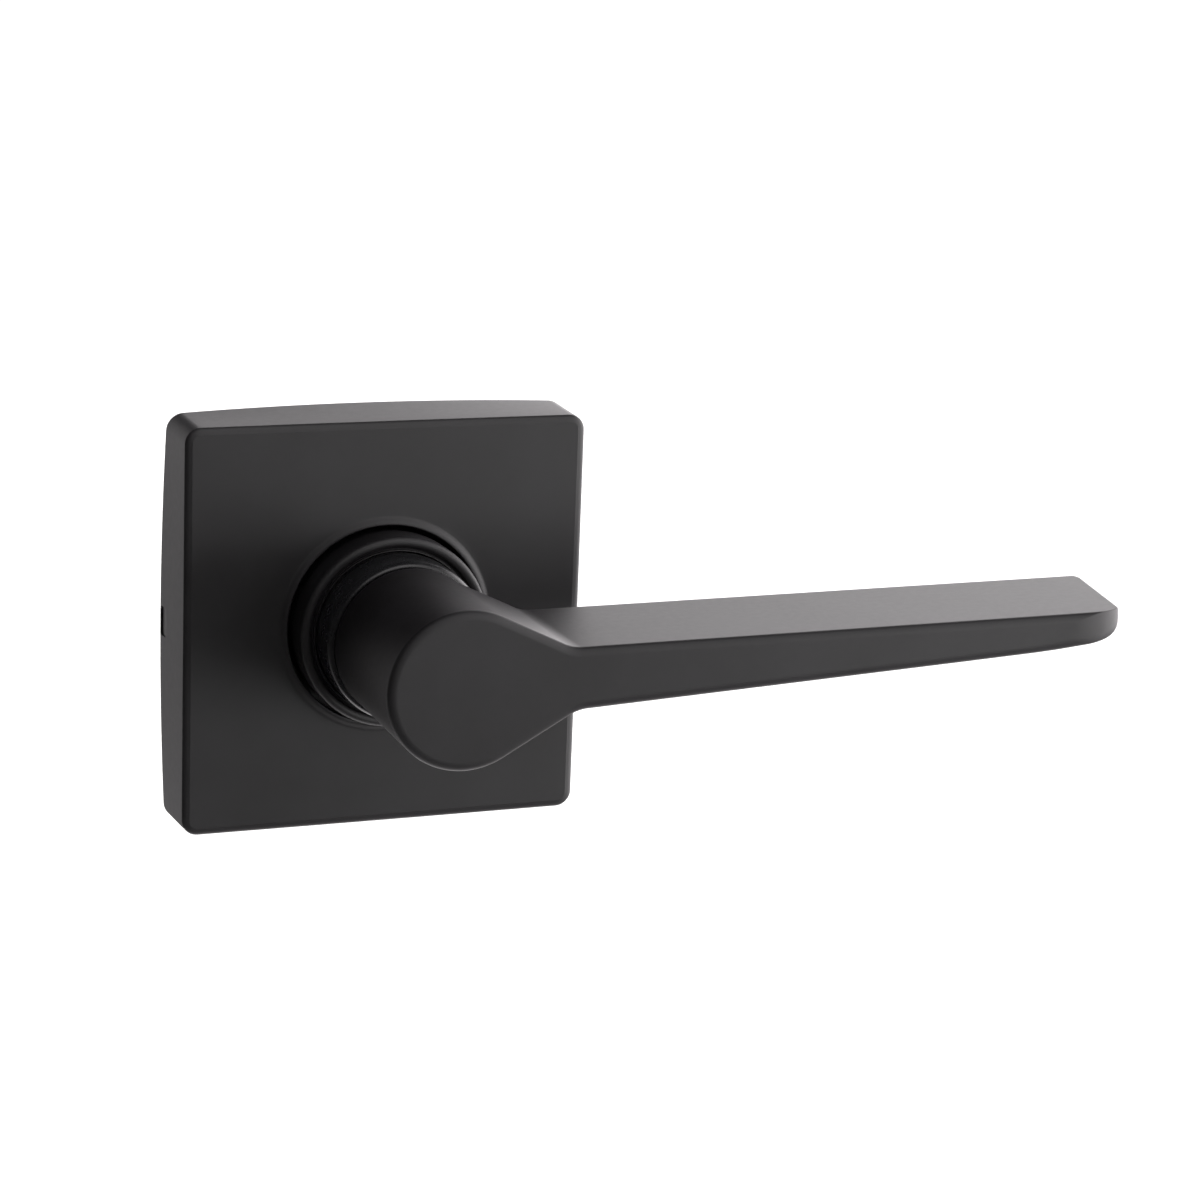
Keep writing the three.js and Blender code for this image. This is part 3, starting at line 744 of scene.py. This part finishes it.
def lever_casting():
    lever = LeverRings()
    rings = list(lever.front_edge())
    rings += [lever.side(y) for y in SIDE_DEPTHS]
    rings += lever.rear_edge()
    rings += lever.root(rings[-1])
    shank, back, bore, rim = LEVER["shank"], LEVER["shank_back"], LEVER["bore"], 0.3
    for radius, y in (
        (shank, -24.9), (shank, -24.3), (shank, back - rim), (shank - rim * 0.3, back - rim * 0.3),
        (shank - rim, back), (bore + rim, back), (bore, back - rim), (bore, -33), (bore, LEVER["bore_front"]),
    ):
        rings.append(lever.circle(radius, y))
    piece = skin("lever_casting", rings)
    cut(piece, hole_cutter(CATCH["nose"] + 0.4, (0, CATCH["y"], -20), (0, CATCH["y"], -5)))
    return place(even_shading(piece), "lever", "lever", LEVER_BLACK, "lever_handle")


lever_casting()

# ---------------------------------------------------------------- plate, screws and rivets


def move(piece, offset=(0, 0, 0), turn=None):
    """Places the piece's mesh; the offset is in millimetres."""
    piece.data.transform(Matrix.Translation(Vector(offset) * MM) @ (turn or Matrix.Identity(4)))
    return piece


def mounting_plate():
    """Stamped steel plate: one edge rounded by the punch, the other nearly sharp."""
    half, corner, thick = PLATE["half"], PLATE["corner"], PLATE["thick"]
    rings = []
    for inset, y in (
        (0.15, 0), (0.04, -0.05), (0, -0.15), (0, -thick + 0.4), (0.08, -thick + 0.18), (0.25, -thick + 0.04),
        (0.45, -thick),
    ):
        rings.append([(x, y, z) for x, z in square(half - inset, corner - inset)])
    piece = skin("plate_stamped", rings)
    cutters = [hole_cutter(PLATE["bore"], (0, -5, 0), (0, 5, 0), 96)]
    for side in (-1, 1):
        at_x, at_z = side * SCREW["x"], side * RIVET["z"]
        cutters.append(hole_cutter(PLATE["screw_hole"], (at_x, -5, 0), (at_x, 5, 0)))
        cutters.append(hole_cutter(PLATE["rivet_hole"], (0, -5, at_z), (0, 5, at_z)))
    cut(piece, *cutters)
    return place(even_shading(piece), "trim", "zinc_steel", ZINC, "mounting_plate")


def thread_rings(sides=28, rings_per_turn=6):
    """Rings of a screw's thread, its radius following the helix; the two ends run out smoothly."""
    start, end, pitch = SCREW["thread_from"], SCREW["end"] - 1, SCREW["pitch"]
    count = round((end - start) / pitch * rings_per_turn)
    rings = []
    for k in range(count + 1):
        y = start + (end - start) * k / count
        deep = SCREW["depth"] * min(1.0, (y - start) / pitch)
        ring = []
        for i in range(sides):
            turn = i / sides
            phase = (y / pitch + turn) % 1.0
            radius = SCREW["radius"] - deep * abs(2 * phase - 1)
            angle = 2 * math.pi * turn
            ring.append((radius * math.cos(angle), y, radius * math.sin(angle)))
        rings.append(ring)
    return rings


def mounting_screw(side, x):
    """Pan head screw with a cross recess, its shank threaded from the door's middle on."""
    sides, seat, head = 28, SCREW["seat"], SCREW["head"]
    front = seat - SCREW["height"]
    dome = [(1.2, front), (head - 1.4, front + 0.12)]
    dome += [(head - 1.4 + 1.4 * math.sin(a), front + 1.52 - 1.4 * math.cos(a)) for a in quarter(6)[1:]]
    profile = dome + [(head, seat - 0.15), (head - 0.15, seat), (SCREW["radius"] + 0.15, seat)]
    profile += [(SCREW["radius"], seat + 0.15), (SCREW["radius"], SCREW["thread_from"] - 0.2)]
    rings = [circle(radius, y, sides) for radius, y in profile] + thread_rings(sides)
    rings += [circle(SCREW["radius"] - 0.45, SCREW["end"] - 0.5, sides), circle(1.2, SCREW["end"], sides)]
    piece = skin("screw_threaded_" + side, rings)
    arm, deep = SCREW["recess"], front + 1.3
    cut(
        piece,
        box_cutter((-2, front - 1, -arm), (2, deep, arm)),
        box_cutter((-arm, front - 1, -2), (arm, deep, 2)),
    )
    move(piece, (x, 0, 0))
    return place(even_shading(piece, 50), "trim", "zinc_steel", ZINC, "mounting_screw_" + side)


def housing_rivet(side, z):
    seat, back, height = RIVET["seat"], RIVET["back"], RIVET["height"]
    radius, head = RIVET["radius"], RIVET["head"]
    profile = [(0.7, back), (radius - 0.1, back), (radius, back - 0.1)]
    profile += [(radius, seat + 0.1), (radius + 0.1, seat), (head - 0.1, seat)]
    for angle in quarter(8):
        profile.append((head * math.cos(angle) + 0.05, seat - 0.1 - (height - 0.1) * math.sin(angle)))
    piece = move(turned("rivet_" + side, profile, 48), (0, 0, z))
    return place(even_shading(piece), "trim", "zinc_steel", ZINC, "housing_rivet_" + side)


def rose_clip(side, quarter_turns):
    """Bent leaf of spring steel: a foot on the plate and a leg that presses on the rose."""
    foot, heel, inside, thick, back = (CLIP[k] for k in ("foot", "heel", "inside", "thick", "back"))
    outline = rounded_loop([
        (foot, back, 0.2), (heel, back, 0.35), (heel + 0.5, back - 0.6, 0.5), (inside, -5, 1.2),
        (heel + 0.3, -7.6, 0.2), (heel + 0.3 - thick, -7.4, 0.2), (inside - thick, -5, 0.9),
        (heel - 0.1, back - thick, 0.4), (foot, back - thick, 0.2),
    ], 4)
    reach = CLIP["width"] / 2
    rings = [[(x, y, z) for z, y in outline] for x in (-reach, -reach / 3, reach / 3, reach)]
    piece = skin("clip_leaf_" + side, rings)
    move(piece, turn=Matrix.Rotation(quarter_turns * math.pi / 2, 4, "Y"))
    return place(even_shading(piece, 30), "trim", "spring_steel", SPRING, "rose_clip_" + side)


mounting_plate()
for side, sign in (("left", -1), ("right", 1)):
    mounting_screw(side, sign * SCREW["x"])
for side, sign in (("lower", -1), ("upper", 1)):
    housing_rivet(side, sign * RIVET["z"])
for turns, side in enumerate(("top", "right", "bottom", "left")):
    rose_clip(side, turns)

# ---------------------------------------------------------------- spindle, catch, springs and bearings


def square_spindle():
    half, corner, chamfer = SPINDLE["half"], SPINDLE["corner"], SPINDLE["chamfer"]
    back, front = SPINDLE["back"], SPINDLE["front"]
    rings = []
    for y, inset in (
        (front, chamfer), (front + 0.1, chamfer - 0.12), (front + chamfer, 0.04), (front + chamfer + 0.2, 0),
        (0, 0),
        (back - chamfer - 0.2, 0), (back - chamfer, 0.04), (back - 0.1, chamfer - 0.12), (back, chamfer),
    ):
        reach = half - corner
        ring = []
        for side in range(4):
            turn = Matrix.Rotation(side * math.pi / 2, 2)
            for angle in quarter(6):
                spoke_at = Vector((reach, reach)) + spoke(angle, corner - inset + 0.001)
                ring.append(tuple(turn @ spoke_at))
        rings.append([(x, y, z) for x, z in ring])
    piece = skin("spindle_bar", rings)
    cut(piece, hole_cutter(CROSS_PIN["radius"] + 0.3, (-20, CROSS_PIN["y"], 0), (20, CROSS_PIN["y"], 0)))
    return place(even_shading(piece, 30), "lever", "zinc_steel", ZINC, "spindle")


def cross_pin():
    radius, reach = CROSS_PIN["radius"], CROSS_PIN["reach"]
    profile = [(radius - 0.3, -reach), (radius, -reach + 0.3), (radius, reach - 0.3), (radius - 0.3, reach)]
    piece = turned("pin_round", profile, 40)
    move(piece, (0, CROSS_PIN["y"], 0), Matrix.Rotation(math.pi / 2, 4, "Z"))
    return place(even_shading(piece, 30), "lever", "spring_steel", SPRING, "spindle_pin")


def lever_catch():
    """Button that locks the lever on the sleeve: hollow above, its nose in the hole under the hub."""
    nose, flange, tip, bore = CATCH["nose"], CATCH["flange"], CATCH["tip"], CATCH["bore"]
    profile = rounded_run([
        (bore - 0.4, CATCH["floor"]), (bore, CATCH["floor"], 0.1), (bore, CATCH["high"], 0.1),
        (flange, CATCH["high"], 0.15), (flange, CATCH["low"], 0.15),
        (nose, CATCH["low"], 0.15), (nose, tip, 0.6), (nose - 1.2, tip),
    ], 6)
    piece = turned("catch_button", profile, 64)
    move(piece, (0, CATCH["y"], 0), Matrix.Rotation(math.pi / 2, 4, "X"))
    return place(even_shading(piece), "catch", "zinc_steel", ZINC, "lever_catch")


def wire(name, points, thickness, sides=14):
    """Round wire along a path, its section carried on from step to step without twisting."""
    points = [Vector(p) for p in points]
    rings, side_way = [], None
    for i, point in enumerate(points):
        way = (points[min(i + 1, len(points) - 1)] - points[max(i - 1, 0)]).normalized()
        if side_way is None:
            side_way = way.orthogonal()
        side_way = (side_way - way * side_way.dot(way)).normalized()
        other_way = way.cross(side_way)
        rings.append([
            tuple(point + (side_way * math.cos(a) + other_way * math.sin(a)) * thickness)
            for a in (2 * math.pi * k / sides for k in range(sides))
        ])
    return skin(name, rings)


def return_spring():
    """Torsion coil of nearly two turns, with a leg bent in at each end."""
    radius, leg_x, steps, bend = COIL["radius"], COIL["leg_x"], 180, 1.1
    start = math.asin((leg_x + bend) / radius)
    sweep = 4 * math.pi - 2 * start
    coil = []
    for i in range(steps + 1):
        angle = -start - sweep * i / steps
        y = COIL["back"] + (COIL["front"] - COIL["back"]) * i / steps
        coil.append((radius * math.sin(angle), y, radius * math.cos(angle)))

    def leg(coil_end, sign):
        x, y, z = coil_end
        corner = Vector((sign * leg_x, y, z + 0.15))
        low = Vector((sign * leg_x, y, COIL["leg_end"]))
        first, last = Vector(coil_end), corner.lerp(low, bend / (corner - low).length)
        path = [low, low.lerp(last, 0.5)]
        for i in range(7):
            t = i / 7
            path.append(last * (1 - t) ** 2 + corner * 2 * t * (1 - t) + first * t ** 2)
        return path

    points = leg(coil[0], -1) + coil + leg(coil[-1], 1)[::-1]
    piece = wire("torsion_wire", points, COIL["wire"])
    return place(piece, "trim", "spring_steel", SPRING, "return_spring")


def catch_spring():
    low, high, turns, steps = CATCH_COIL["low"], CATCH_COIL["high"], CATCH_COIL["turns"], 120
    points = []
    for i in range(steps + 1):
        angle = 2 * math.pi * turns * i / steps
        across = spoke(angle, CATCH_COIL["radius"])
        points.append((across.x, CATCH["y"] + across.y, low + (high - low) * i / steps))
    piece = wire("catch_wire", points, CATCH_COIL["wire"], 10)
    return place(piece, "lever", "spring_steel", SPRING, "catch_spring")


def plain_ring(name, size, count=128, edge=0.12):
    """Flat ring of rectangular section with broken edges."""
    inner, outer, back, front = size["inner"], size["outer"], size["back"], size["front"]
    profile = rounded_loop([
        (inner, back, edge), (outer, back, edge), (outer, front, edge), (inner, front, edge)], 3)
    return turned(name, profile, count, torus=True)


def retaining_ring():
    piece = plain_ring("retaining_clip", RING)
    reach = RING["gap"] / 2
    cut(piece, box_cutter((0, -10, -reach), (20, 0, reach)))
    return place(even_shading(piece), "lever", "spring_steel", SPRING, "retaining_ring")


square_spindle()
cross_pin()
lever_catch()
return_spring()
catch_spring()
retaining_ring()
place(even_shading(plain_ring("washer_thrust", WASHER)), "trim", "nylon", NYLON, "thrust_washer")
place(even_shading(plain_ring("bushing_sleeve", BUSHING)), "trim", "nylon", NYLON, "neck_bushing")

# ---------------------------------------------------------------- carried-over CAD nodes

for node, material in {"spring_housing": ROSE_BLACK, "drive_cam": ZINC}.items():
    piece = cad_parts[node]
    piece.data.materials.clear()
    piece.data.materials.append(material)

# ---------------------------------------------------------------- camera, floor and light


def camera():
    """The picture's viewpoint: from the left, a little above, aimed between hub and tip."""
    target = Vector((33.34, -20.0, 4.376)) * MM
    azimuth, elevation, roll = math.radians(-21.85), math.radians(14.09), math.radians(2.278)
    level = math.cos(elevation)
    away = Vector((math.sin(azimuth) * level, -math.cos(azimuth) * level, math.sin(elevation)))
    lens = bpy.data.cameras.new("camera")
    lens.sensor_width = 36
    lens.lens = 98.9
    lens.clip_start = 0.01
    lens.clip_end = 100
    eye = bpy.data.objects.new("camera", lens)
    eye.matrix_world = (
        Matrix.Translation(target + away * 0.532)
        @ away.to_track_quat("Z", "Y").to_matrix().to_4x4()
        @ Matrix.Rotation(roll, 4, "Z")
    )
    bpy.context.scene.collection.objects.link(eye)
    bpy.context.scene.camera = eye


def pale_floor():
    maker = bmesh.new()
    bmesh.ops.create_grid(maker, x_segments=8, y_segments=8, size=1.8)
    floor = from_bmesh("floor", maker)
    floor.location.z = -0.3
    floor.visible_glossy = False
    m = Nodes("floor_pale")
    m.set(Base_Color=m.between(m.noise(3, detail=2), (0.9, 0.9, 0.9), (0.92, 0.92, 0.92)), Roughness=0.9)
    m.shader.inputs["Specular IOR Level"].default_value = 0.0
    floor.data.materials.append(m.material)


def soft_box(name, place_at, aim, size, power):
    lamp = bpy.data.lights.new(name, "AREA")
    lamp.shape = "RECTANGLE"
    lamp.size, lamp.size_y = size
    lamp.energy = power
    light = bpy.data.objects.new(name, lamp)
    light.location = place_at
    light.rotation_euler = (Vector(aim) - Vector(place_at)).to_track_quat("-Z", "Y").to_euler()
    bpy.context.scene.collection.objects.link(light)
    return light


# Soft patches of light in the room: direction, inner and outer angle in degrees, strength
PATCHES = (
    ((0.75, 0.63, 0.22), 18, 44, 4.1),      # backdrop on the right, seen in the faces on top
    ((-0.42, 0.9, -0.08), 12, 38, 0.9),     # backdrop on the left, seen in the rose's left side
    ((-0.6, 0.3, -0.75), 8, 30, 0.7),       # below on the left, seen in the hub's lower left
    ((0.12, 0.25, -0.96), 12, 46, 3.6),     # below, seen in the lower edges
    ((0.2, -0.86, 0.47), 6, 28, 2.0),       # high in front, seen in the rings' upper crests
    ((0.97, -0.2, 0.0), 12, 42, 6.6),       # right, seen in the rounding of the tip
)
ROOM = {"base": 0.025, "behind": 1.1, "tint": (1, 0.965, 0.98, 1)}


def world_lobe(m, way, inner, outer, strength):
    """Soft patch of light in the world around a direction; the angles are in degrees."""
    coordinates = m.nodes.new("ShaderNodeTexCoord")
    turn = m.nodes.new("ShaderNodeVectorMath")
    turn.operation = "DOT_PRODUCT"
    m.links.new(coordinates.outputs["Generated"], turn.inputs[0])
    turn.inputs[1].default_value = Vector(way).normalized()
    spread = m.nodes.new("ShaderNodeMapRange")
    spread.interpolation_type = "SMOOTHSTEP"
    m.links.new(turn.outputs["Value"], spread.inputs["Value"])
    spread.inputs["From Min"].default_value = math.cos(math.radians(outer))
    spread.inputs["From Max"].default_value = math.cos(math.radians(inner))
    spread.inputs["To Max"].default_value = strength
    return spread.outputs["Result"]


def studio():
    """One soft box in front on the right, a wide ceiling, and a dim room with a few bright patches."""
    world = bpy.data.worlds.new("studio")
    world.use_nodes = True
    m = world.node_tree
    total = None
    for lobe in PATCHES:
        value = world_lobe(m, *lobe)
        if total:
            add = m.nodes.new("ShaderNodeMath")
            m.links.new(total, add.inputs[0])
            m.links.new(value, add.inputs[1])
            value = add.outputs[0]
        total = value
    base = m.nodes.new("ShaderNodeMath")
    m.links.new(total, base.inputs[0])
    base.inputs[1].default_value = ROOM["base"]
    # the background itself is plain white; the patches only light the part
    seen = m.nodes.new("ShaderNodeLightPath").outputs["Is Camera Ray"]
    choice = m.nodes.new("ShaderNodeMix")
    m.links.new(seen, choice.inputs["Factor"])
    m.links.new(base.outputs[0], choice.inputs["A"])
    choice.inputs["B"].default_value = ROOM["behind"]
    m.links.new(choice.outputs["Result"], m.nodes["Background"].inputs["Strength"])
    m.nodes["Background"].inputs["Color"].default_value = ROOM["tint"]
    bpy.context.scene.world = world
    bpy.context.scene.view_settings.view_transform = "Standard"
    bpy.context.scene.view_settings.look = "None"
    soft_box("key", (0.72, -0.95, -0.21), (0, 0, 0), (0.5, 0.5), 5.5)
    ceiling = soft_box("ceiling", (1.0, 2.5, 4.0), (1.0, 2.5, 0), (8, 8), 420)
    ceiling.visible_glossy = False


camera()
pale_floor()
studio()
